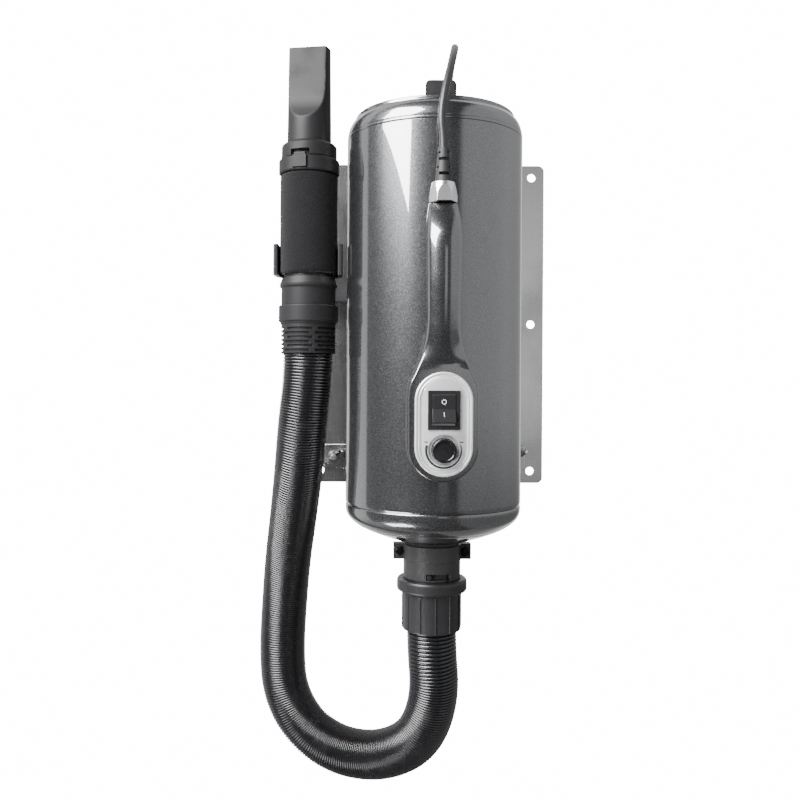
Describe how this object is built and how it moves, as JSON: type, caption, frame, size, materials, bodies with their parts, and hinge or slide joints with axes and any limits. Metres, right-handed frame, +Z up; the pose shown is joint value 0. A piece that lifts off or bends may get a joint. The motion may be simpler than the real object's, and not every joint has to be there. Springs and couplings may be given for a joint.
{
  "type": "wall-mounted pet dryer",
  "caption": "Upright canister pet dryer on a steel wall plate, with a control handle, a ribbed stretch hose and a flat-nozzle handset held in a side clip.",
  "frame": {"origin": "centre of the wall plate's back face, which lies on the wall", "axes": "+X to the right seen from the front, +Y into the wall, +Z up along the canister"},
  "size_m": [0.2892, 0.2256, 0.6949],
  "materials": {
    "stainless_plate": "brushed",
    "zinc_steel": "satin",
    "wing_steel": "polished",
    "dark_bracket": "satin",
    "shell_paint": "gloss metallic",
    "bright_dome": "polished",
    "black_plastic": "fine satin",
    "hose_plastic": "satin",
    "grip_foam": "foam",
    "handle_plastic": "gloss",
    "bezel_silver": "silver",
    "switch_plastic": "satin",
    "black_rubber": "matte",
    "cord_pvc": "satin",
    "chrome_gland": "polished",
    "screw_steel": "blackened",
    "filter_foam": "open foam",
    "motor_steel": "satin",
    "motor_core": "bare",
    "fan_aluminium": "satin",
    "heat_board": "mica",
    "heat_wire": "bare",
    "board_green": "board",
    "liner_foam": "open foam"
  },
  "bodies": {
    "root": {"body_hanger": "zinc_steel", "bottom_shoulder": "shell_paint", "collar_back": "black_plastic", "collar_front": "black_plastic", "collar_screws": "screw_steel", "control_bezel": "bezel_silver", "control_board": "board_green", "cord_coil": "cord_pvc", "cord_tie": "black_rubber", "fan_housing": "motor_steel", "filter_foam": "filter_foam", "foam_liner": "liner_foam", "gland_nut": "chrome_gland", "handle": "handle_plastic", "handle_gaskets": "black_rubber", "handle_screws": "screw_steel", "heater_coil": "heat_wire", "heater_frame": "heat_board", "holder_arm": "dark_bracket", "holder_clip": "black_plastic", "holder_screws": "screw_steel", "hose": "hose_plastic", "inlet_grille": "black_plastic", "lower_saddle": "black_rubber", "lower_strap": "stainless_plate", "motor_bearings": "zinc_steel", "motor_can": "motor_steel", "motor_mounts": "black_rubber", "outlet_dome": "bright_dome", "outlet_neck": "black_plastic", "plug": "cord_pvc", "plug_cord": "cord_pvc", "potentiometer": "zinc_steel", "power_cord": "cord_pvc", "rocker_frame": "switch_plastic", "shell_tube": "shell_paint", "strain_relief": "black_rubber", "strap_studs": "zinc_steel", "top_shoulder": "shell_paint", "upper_hook": "stainless_plate", "wall_plate": "stainless_plate"},
    "wing_nut_left": {"wing_nut_left": "wing_steel"},
    "wing_nut_right": {"wing_nut_right": "wing_steel"},
    "filter_cover": {"filter_cover": "black_plastic"},
    "outlet_coupling": {"coupling_ring": "black_plastic", "coupling_seal": "black_rubber", "fluted_cuff": "black_plastic"},
    "hose_cuff": {"swivel_cuff": "black_plastic", "cuff_ring": "black_plastic"},
    "handset": {"handset_tube": "black_plastic", "foam_grip": "grip_foam", "handset_ring": "black_plastic", "latch_spring": "zinc_steel"},
    "nozzle_latch": {"nozzle_latch": "black_plastic"},
    "nozzle": {"nozzle": "black_plastic"},
    "rocker": {"rocker_paddle": "switch_plastic"},
    "speed_knob": {"speed_knob": "switch_plastic", "knob_spindle": "zinc_steel"},
    "rotor": {"rotor": "motor_core", "impeller": "fan_aluminium"}
  },
  "joints": [
    {"name": "wing_nut_left_turn", "type": "hinge", "parent": "root", "child": "wing_nut_left", "pos_m": [-0.0947, -0.012, -0.1382], "axis": [0, 1, 0], "continuous": true},
    {"name": "wing_nut_right_turn", "type": "hinge", "parent": "root", "child": "wing_nut_right", "pos_m": [0.0947, -0.012, -0.1382], "axis": [0, 1, 0], "continuous": true},
    {"name": "filter_cover_twist", "type": "hinge", "parent": "root", "child": "filter_cover", "pos_m": [0, -0.102, 0.176], "axis": [0, 0, 1], "range_deg": [0, 20]},
    {"name": "bayonet_twist", "type": "hinge", "parent": "root", "child": "outlet_coupling", "pos_m": [0, -0.102, -0.24], "axis": [0, 0, 1], "range_deg": [0, 40]},
    {"name": "handset_pull", "type": "slide", "parent": "root", "child": "hose_cuff", "axis": [0, -1, 0], "range_m": [0, 0.06], "deforming": ["hose"]},
    {"name": "handset_turn", "type": "hinge", "parent": "hose_cuff", "child": "handset", "pos_m": [-0.1153, -0.102, 0.015], "axis": [0, 0, 1], "continuous": true},
    {"name": "latch_press", "type": "slide", "parent": "handset", "child": "nozzle_latch", "axis": [0.2504, 0.9681, 0], "range_m": [0, 0.0018], "stiffness_N_per_m": 800, "deforming": ["latch_spring"]},
    {"name": "nozzle_pull", "type": "slide", "parent": "handset", "child": "nozzle", "axis": [0, 0, 1], "range_m": [0, 0.024]},
    {"name": "rocker_tilt", "type": "hinge", "parent": "root", "child": "rocker", "pos_m": [0, -0.2128, -0.0824], "axis": [1, 0, 0], "range_deg": [0, 20]},
    {"name": "speed_turn", "type": "hinge", "parent": "root", "child": "speed_knob", "pos_m": [0, -0.214, -0.114], "axis": [0, 1, 0], "range_deg": [0, 216]},
    {"name": "rotor_spin", "type": "hinge", "parent": "root", "child": "rotor", "pos_m": [0, -0.102, 0.06], "axis": [0, 0, 1], "continuous": true}
  ]
}
